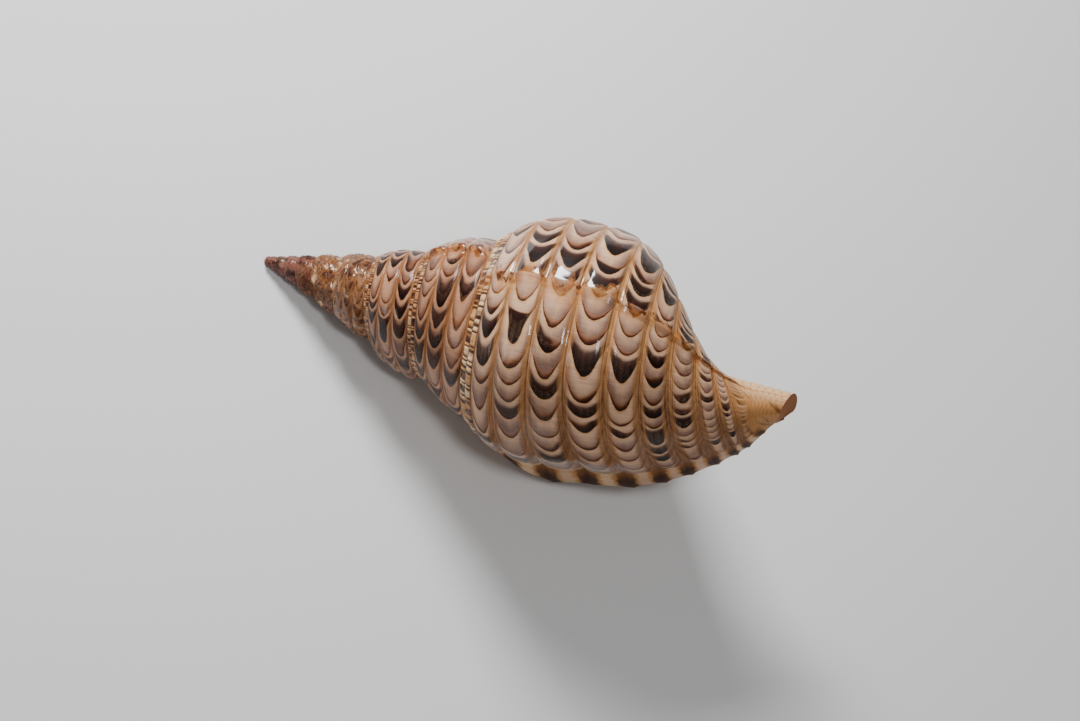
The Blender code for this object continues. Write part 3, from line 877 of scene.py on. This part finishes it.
        lines = g.grain(on.turns, 520.0, on.lane, 2.0)
        threads = g.grain(on.lane, 24.0, on.turns, 4.0)
        years = g.grain(on.turns, 130.0, on.lane, 0.7)
        tone = calc("ADD", calc("MULTIPLY", lines, 0.45), calc("MULTIPLY", years, 0.55))
        tone = calc("ADD", tone, 0.50)
        toned = g.node("ShaderNodeMix", data_type="RGBA", blend_type="MULTIPLY")
        toned.inputs[0].default_value = 1.0
        g.feed(toned.inputs[6], colour)
        g.feed(toned.inputs[7], g.vector(tone, tone, tone))
        height = calc("ADD", calc("MULTIPLY", lines, 0.6), calc("MULTIPLY", threads, 0.4))
        rough = calc("ADD", calc("MULTIPLY", g.noise(on.place, 90.0, 3.0), 0.20), 0.34)
        rough = calc("ADD", rough, calc("MULTIPLY", sides, 0.14))
        gloss = g.window(on.behind, (-0.002, 0.004), (0.065, 0.045))
        gloss = g.product(gloss, g.step(on.lane, 6.5, 4.5))
        polish = calc("MULTIPLY", g.step(g.noise(on.place, 28.0, 1.0), 0.42, 0.62), 0.4)
        gloss = calc("ADD", calc("MAXIMUM", gloss, polish), 0.14, clamp=True)
        matt = calc("MAXIMUM", g.step(on.turns, 0.13, 0.08), g.step(on.lane, 12.4, 12.6))
        gloss = calc("MULTIPLY", gloss, calc("SUBTRACT", 1.0, calc("MULTIPLY", matt, 0.9)))
        g.finish(toned.outputs[2], rough, height, 0.00022, gloss, 0.09)
        return material


@dataclass(frozen=True)
class MouthFinish:
    """Smooth orange inside of the mouth, with its lip and folds."""

    orange: Colour = (0.62, 0.25, 0.08, 1.0)
    cream: Colour = (0.80, 0.62, 0.42, 1.0)
    deep: Colour = (0.42, 0.17, 0.07, 1.0)
    brown: Colour = (0.075, 0.026, 0.013, 1.0)

    def build(self) -> bpy.types.Material:
        """Make the material.

        Returns:
            The material, which reads the growth and marks maps of the mouth.
        """
        material = bpy.data.materials.new("shell_mouth")
        g = Graph(material)
        calc = g.calc
        depth, lane = g.uv("growth")
        side, station = g.uv("marks")
        place = g.object_place()
        off = calc("ABSOLUTE", calc("SUBTRACT", lane, calc("ROUND", lane)))
        soft = g.noise(place, 45.0, 3.0)
        colour = g.mix(g.step(depth, 0.05, 0.5), self.orange, self.deep)
        colour = g.mix(calc("MULTIPLY", g.step(soft, 0.4, 0.7), 0.5), colour, self.cream)
        blotch = g.mix(g.step(off, 0.34, 0.22), self.cream, self.brown)
        tooth = calc("MULTIPLY", g.step(calc("ABSOLUTE", calc("SUBTRACT", off, 0.13)), 0.06, 0.03),
                     g.step(depth, -0.004, 0.01))
        blotch = g.mix(calc("MULTIPLY", tooth, 0.9), blotch, self.cream)
        colour = g.mix(g.step(depth, 0.075, 0.05), colour, blotch)
        turn = 2.0 * math.pi * Sculpture.fold_count / Sculpture.fold_span
        folds = calc("COSINE", g.product(calc("SUBTRACT", station, 1.0), turn))
        ribs = g.mix(g.step(folds, -0.1, 0.5), self.brown, self.cream)
        ribs = g.mix(g.step(depth, 0.08, 0.30), ribs, self.orange)
        colour = g.mix(g.step(side, 1.4, 1.6), colour, ribs)
        rough = calc("ADD", calc("MULTIPLY", soft, 0.12), 0.14)
        g.finish(colour, rough, g.noise(place, 300.0, 2.0), 0.0001, 0.5, 0.06)
        return material


@dataclass(frozen=True)
class Skin:
    """The whole surface of the shell, outside and in, as one piece."""

    sculpture: Sculpture
    mouth: Mouth
    fineness: Fineness
    skin_finish: SkinFinish
    mouth_finish: MouthFinish
    name: str = "triton_shell"

    def add_sheet(self, bm: bmesh.types.BMesh, rows: np.ndarray, columns: np.ndarray,
                  place_points: Callable[[np.ndarray, np.ndarray], np.ndarray],
                  side: Optional[Side] = None, near_cuts: int = 0, far_cuts: int = 0) -> None:
        """Add a grid with its points on the surface and its two maps filled in.

        Args:
            bm: Mesh to add to.
            rows: Turns of the rows.
            columns: Stations of the columns.
            place_points: Gives the points for turns and stations.
            side: Surface of the mouth, or None for the outside.
            near_cuts: Extra points in each edge along the first column.
            far_cuts: Extra points in each edge along the last column.
        """
        first_vert, first_face = len(bm.verts), len(bm.faces)
        bmesh.ops.create_grid(bm, x_segments=len(rows) - 1, y_segments=len(columns) - 1, size=0.5)
        for cuts, end in ((near_cuts, -0.5), (far_cuts, 0.5)):
            if cuts:
                bm.verts.ensure_lookup_table()
                edges = {edge for vert in bm.verts[first_vert:] for edge in vert.link_edges}
                rim = [e for e in edges if all(abs(v.co.y - end) < 1.0e-5 for v in e.verts)]
                bmesh.ops.subdivide_edges(bm, edges=rim, cuts=cuts)
        bm.verts.ensure_lookup_table()
        bm.faces.ensure_lookup_table()
        verts = bm.verts[first_vert:]
        faces = bm.faces[first_face:]
        grid = np.array([vert.co[:2] for vert in verts])
        across = (grid[:, 0] + 0.5) * (len(rows) - 1)
        along = (grid[:, 1] + 0.5) * (len(columns) - 1)
        turns = np.interp(across, np.arange(len(rows)), rows)
        station = np.interp(along, np.arange(len(columns)), columns)
        self.fill_maps(bm, verts, faces, turns, station, side)
        for vert, point in zip(verts, place_points(turns, station)):
            vert.co = point

    def fill_maps(self, bm: bmesh.types.BMesh, verts: Sequence[bmesh.types.BMVert],
                  faces: Sequence[bmesh.types.BMFace], turns: np.ndarray, station: np.ndarray,
                  side: Optional[Side]) -> None:
        """Write the growth and marks maps of new faces.

        Args:
            bm: Mesh the faces belong to.
            verts: New points, in the order of turns and station.
            faces: New faces.
            turns: Turns of the points.
            station: Stations of the points.
            side: Surface of the mouth, or None for the outside.
        """
        growth = bm.loops.layers.uv["growth"]
        marks = bm.loops.layers.uv["marks"]
        counts = bm.loops.layers.uv["counts"]
        bm.verts.index_update()
        order = {vert.index: number for number, vert in enumerate(verts)}
        lane = self.sculpture.lane(station)
        tongues = self.sculpture.tongues(turns)
        beads = self.sculpture.bead_count(turns)
        corners = [[order[vert.index] for vert in face.verts] for face in faces]
        middle = np.array([turns[corner].mean() for corner in corners])
        nearest, between = self.sculpture.marks(middle)
        for face, corner, crest, count in zip(faces, corners, nearest, between):
            face.material_index = 0 if side is None else 1
            face.smooth = True
            for loop, number in zip(face.loops, corner):
                loop[growth].uv = (turns[number], lane[number])
                loop[counts].uv = (tongues[number], beads[number])
                if side is None:
                    loop[marks].uv = (turns[number] - crest, count)
                else:
                    loop[marks].uv = (side.value, station[number])

    def add_outside(self, bm: bmesh.types.BMesh, columns: np.ndarray) -> None:
        """Add the bead band and the cords of each turn, from the lip to the apex."""
        fineness = self.fineness
        upper = columns[columns <= 1.0]
        band = np.array(fineness.band_columns)
        for turn, count in enumerate(fineness.band_rows):
            main_count = count // 2
            newer = fineness.band_rows[turn - 1] if turn else main_count
            rows = turn + np.linspace(0.0, 1.0, count + 1)
            self.add_sheet(bm, rows, band, self.sculpture.outside)
            self.add_sheet(bm, rows[::2], columns if turn == 0 else upper, self.sculpture.outside,
                           near_cuts=1, far_cuts=newer // main_count - 1)

    def add_mouth(self, bm: bmesh.types.BMesh, main: np.ndarray) -> None:
        """Add the lip's rounded rim and the two walls of the hollow behind it."""
        mouth, sculpture = self.mouth, self.sculpture
        columns = np.concatenate([self.fineness.band_columns[:-1], main])
        inner_columns = main[main >= mouth.corner - 1.0e-9]
        corner_columns = main[(main > 1.0 - 1.0e-9) & (main < mouth.corner + 1.0e-9)]
        depths = mouth.depth * np.linspace(0.0, 1.0, self.fineness.mouth_rows + 1) ** 1.6
        for side, stations in ((Side.OUTER_WALL, columns), (Side.COLUMELLA, inner_columns)):
            self.add_sheet(bm, depths, stations,
                           lambda turns, station, s=side: mouth.walls(turns, station, s), side)
        shares = np.linspace(0.0, 1.0, len(corner_columns))

        def rim(share: np.ndarray, station: np.ndarray) -> np.ndarray:
            """Points from the outer edge of the lip, share 0, to its inner edge, share 1."""
            zeros = np.zeros_like(station)
            outer = sculpture.outside(zeros, station)
            inner = mouth.walls(zeros, station, Side.OUTER_WALL)
            points = outer + (inner - outer) * share[:, None]
            seam = sculpture.outside(np.ones_like(station), np.interp(share, shares, corner_columns))
            at_seam = station < 1.0e-9
            points[at_seam] = seam[at_seam]
            angle = mouth.law.lip_angle
            forward = np.array([0.0, -math.sin(angle), -math.cos(angle)])
            off = sculpture.lane(station)
            point = np.exp(-(((off - np.round(off)) / 0.2) ** 2)) * ease(station, 0.3, 0.5)
            swell = mouth.lip_round + mouth.lip_point * mouth.tooth_height * point
            swell = swell * 4.0 * share * (1.0 - share) * ease(station, 0.0, 0.1)
            return points + forward * (swell * (1.0 - ease(station, 2.6, 3.0)))[:, None]

        self.add_sheet(bm, shares, columns, rim, Side.LIP)

    def close(self, bm: bmesh.types.BMesh) -> None:
        """Weld the sheets and close the apex, the canal's end and the deep end of the mouth."""
        law = self.sculpture.law
        bmesh.ops.remove_doubles(bm, verts=bm.verts, dist=self.fineness.weld / law.length)
        plate = self.add_end_face(bm)
        rims = [edge for edge in bm.edges if edge.is_boundary]
        filled = bmesh.ops.holes_fill(bm, edges=rims, sides=0)
        growth = bm.loops.layers.uv["growth"]
        marks = bm.loops.layers.uv["marks"]
        end_lane = float(len(self.sculpture.grooves)) + 1.0
        for face in filled["faces"] + [plate]:
            at_apex = face.calc_center_median().x < 0.5
            face.smooth = True
            for loop in face.loops:
                loop[growth].uv = ((self.fineness.apex_turns, self.fineness.apex_lane) if at_apex
                                   else (self.fineness.plate_turns, end_lane))
                loop[marks].uv = (0.25, 0.0)
        apex = min(filled["faces"], key=lambda face: face.calc_center_median().x)
        tip = bmesh.ops.poke(bm, faces=[apex])["verts"][0]
        tip.co = (law.apex_tip, 0.0, float(law.bend(law.apex_tip)))
        for edge in plate.edges:
            edge.smooth = False
        middle = bmesh.ops.poke(bm, faces=[plate])["verts"][0]
        middle.co.x += self.mouth.end_bulge
        LOG.info("closed %d holes with %d rim edges", len(filled["faces"]), len(rims))

    def add_end_face(self, bm: bmesh.types.BMesh) -> bmesh.types.BMFace:
        """Span the canal's end, from one end of its spiral rim to the other, with one face."""
        ring = [edge for edge in bm.edges if edge.is_boundary
                and edge.link_faces[0].material_index == 0 and edge.verts[0].co.x > 0.9]
        verts = {vert for edge in ring for vert in edge.verts}
        ends = [vert for vert in verts if sum(edge in ring for edge in vert.link_edges) == 1]
        LOG.info("canal rim of %d edges with %d ends", len(ring), len(ends))
        chord = bm.edges.new(ends)
        return bmesh.ops.edgeloop_fill(bm, edges=ring + [chord])["faces"][0]

    def fit_in_solid(self, bm: bmesh.types.BMesh) -> None:
        """Draw the skin in, evenly and by a hair, until it lies inside the solid's box."""
        low, high = (np.array(corner) for corner in SOLID_BOX)
        corners = np.array([vert.co for vert in bm.verts])
        least, most = corners.min(axis=0), corners.max(axis=0)
        share = float(min(1.0, ((high - low) / (most - least)).min()))
        centre = (least + most) / 2.0 * share
        shift = ((low + high) / 2.0 - centre) * (1.0, 1.0, 0.0) + (0.0, 0.0, low[2] - least[2] * share)
        bmesh.ops.transform(bm, matrix=Matrix.Translation(Vector(shift)) @ Matrix.Scale(share, 4),
                            verts=bm.verts)
        LOG.info("drawn in to %.5f and shifted by %s", share, np.round(shift, 6))

    def build(self) -> bpy.types.Object:
        """Model the skin, dress it and let it stand for the solid.

        Returns:
            The finished object.
        """
        bm = bmesh.new()
        bm.loops.layers.uv.new("growth")
        bm.loops.layers.uv.new("marks")
        bm.loops.layers.uv.new("counts")
        columns = self.fineness.main_columns(self.sculpture, self.mouth.corner)
        self.add_outside(bm, columns)
        self.add_mouth(bm, columns)
        self.close(bm)
        bmesh.ops.triangulate(bm, faces=[face for face in bm.faces if len(face.verts) > 4])
        bmesh.ops.transform(bm, matrix=self.sculpture.law.rest(), verts=bm.verts)
        bmesh.ops.recalc_face_normals(bm, faces=bm.faces)
        self.fit_in_solid(bm)
        mesh = bpy.data.meshes.new(self.name)
        bm.to_mesh(mesh)
        bm.free()
        mesh.materials.append(self.skin_finish.build())
        mesh.materials.append(self.mouth_finish.build())
        piece = bpy.data.objects.new(self.name, mesh)
        bpy.context.collection.objects.link(piece)
        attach(piece, "root")
        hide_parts("shell")
        triangles = sum(len(polygon.vertices) - 2 for polygon in mesh.polygons)
        LOG.info("%s: %d triangles", self.name, triangles)
        return piece


@dataclass(frozen=True)
class Studio:
    """Pale floor, soft lights and the camera."""

    law: GrowthLaw
    axis_in_view: tuple[float, float, float] = (0.9284, -0.2821, 0.2419)
    side_in_view: tuple[float, float, float] = (0.2314, -0.0703, -0.9703)
    back_in_view: tuple[float, float, float] = (0.2906, 0.9565, 0.0)
    distance: float = 6.0
    view_width: float = 1.9014
    offset: tuple[float, float] = (0.03662, -0.04032)
    sensor: float = 36.0
    floor_size: float = 6.0
    floor_colour: Colour = (0.72, 0.72, 0.72, 1.0)
    sky_colour: Colour = (1.0, 1.0, 1.0, 1.0)
    sky_strength: float = 0.19

    def axes(self) -> tuple[Vector, Vector, Vector]:
        """Right, up and back of the camera, in the shell's resting frame."""
        shell = Matrix((self.axis_in_view, self.side_in_view, self.back_in_view))
        rest = self.law.rest().to_3x3().normalized()
        right, up, back = (rest @ shell.col[index] for index in range(3))
        return right.normalized(), up.normalized(), back.normalized()

    def add_camera(self) -> None:
        """Place the camera at the photograph's angle."""
        right, up, back = self.axes()
        length = self.law.length
        middle = self.law.rest() @ Vector((0.5, 0.0, 0.0))
        place = middle + (right * self.offset[0] + up * self.offset[1] + back * self.distance) * length
        data = bpy.data.cameras.new("camera")
        data.sensor_fit = "HORIZONTAL"
        data.sensor_width = self.sensor
        data.lens = self.sensor * self.distance / self.view_width
        camera = bpy.data.objects.new("camera", data)
        turn = Matrix((right, up, back)).transposed().to_4x4()
        camera.matrix_world = Matrix.Translation(place) @ turn
        bpy.context.collection.objects.link(camera)
        bpy.context.scene.camera = camera
        LOG.info("camera at %s", tuple(round(value, 3) for value in place))

    def add_floor(self) -> None:
        """Lay a plain pale floor."""
        bm = bmesh.new()
        bmesh.ops.create_grid(bm, x_segments=1, y_segments=1, size=self.floor_size / 2.0)
        mesh = bpy.data.meshes.new("floor")
        bm.to_mesh(mesh)
        bm.free()
        material = bpy.data.materials.new("floor")
        material.use_nodes = True
        surface = material.node_tree.nodes["Principled BSDF"]
        surface.inputs["Base Color"].default_value = self.floor_colour
        surface.inputs["Roughness"].default_value = 0.9
        mesh.materials.append(material)
        floor = bpy.data.objects.new("floor", mesh)
        bpy.context.collection.objects.link(floor)

    def add_light(self, name: str, place: tuple[float, float, float], size: tuple[float, float],
                  power: float) -> None:
        """Add a soft light that faces the shell.

        Args:
            name: Name of the light.
            place: Where it stands, as right, up and back in the camera's frame, in metres.
            size: Width and height, in metres.
            power: Watts.
        """
        right, up, back = self.axes()
        middle = self.law.rest() @ Vector((0.5, 0.0, 0.0))
        stand = middle + right * place[0] + up * place[1] + back * place[2]
        data = bpy.data.lights.new(name, "AREA")
        data.shape = "RECTANGLE"
        data.size, data.size_y = size
        data.energy = power
        light = bpy.data.objects.new(name, data)
        light.location = stand
        light.rotation_euler = (middle - stand).to_track_quat("-Z", "Y").to_euler()
        bpy.context.collection.objects.link(light)

    def build(self) -> None:
        """Set up the floor, the sky, the lights and the camera."""
        self.add_floor()
        world = bpy.data.worlds.new("sky")
        world.use_nodes = True
        sky = world.node_tree.nodes["Background"]
        sky.inputs["Color"].default_value = self.sky_colour
        sky.inputs["Strength"].default_value = self.sky_strength
        bpy.context.scene.world = world
        self.add_light("key", (-0.15, 1.07, 0.42), (0.34, 0.40), 25.0)
        self.add_light("front", (0.30, 0.10, 1.25), (0.20, 0.20), 5.0)
        self.add_light("side", (-1.3, -0.1, 0.7), (0.4, 0.4), 2.0)
        self.add_camera()


def main() -> None:
    """Build the shell and its studio."""
    logging.basicConfig(level=logging.INFO, format="%(name)s: %(message)s")
    law = GrowthLaw()
    sculpture = Sculpture(law)
    skin = Skin(sculpture, Mouth(law, sculpture), Fineness(), SkinFinish(), MouthFinish())
    piece = skin.build()
    LOG.info("built %s", piece.name)
    Studio(law).build()
    LOG.info("studio ready")
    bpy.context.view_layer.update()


if __name__ == "__main__":
    main()
